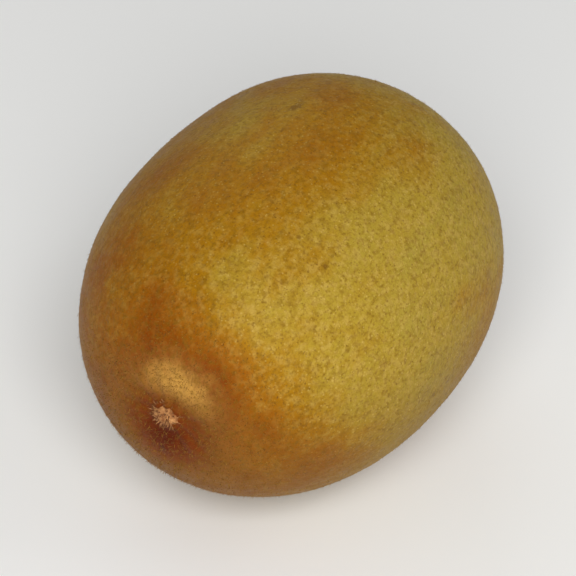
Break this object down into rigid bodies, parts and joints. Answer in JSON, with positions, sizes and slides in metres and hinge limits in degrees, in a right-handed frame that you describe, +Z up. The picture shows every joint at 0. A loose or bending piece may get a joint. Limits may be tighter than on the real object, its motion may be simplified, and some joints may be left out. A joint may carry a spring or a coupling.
{
  "type": "kiwi fruit",
  "caption": "Whole smooth-skinned golden kiwi fruit lying on its side, barrel-shaped, with a dimpled blossom end and a round stem scar.",
  "frame": {"origin": "under the middle of the fruit's bounding box, on the surface that it rests on", "axes": "+X along the fruit from the blossom end to the stem end, +Z up, with the fruit lying on its side"},
  "size_m": [0.0648, 0.0524, 0.0508],
  "materials": {
    "kiwi_skin": "satin, thin smooth skin, finely speckled golden olive, orange-brown towards the ends",
    "dried_calyx": "dull, dry and corky brown",
    "skin_hairs": "short, fine, light brown hairs"
  },
  "bodies": {
    "root": {"kiwi_fruit": "kiwi_skin"}
  },
  "joints": []
}
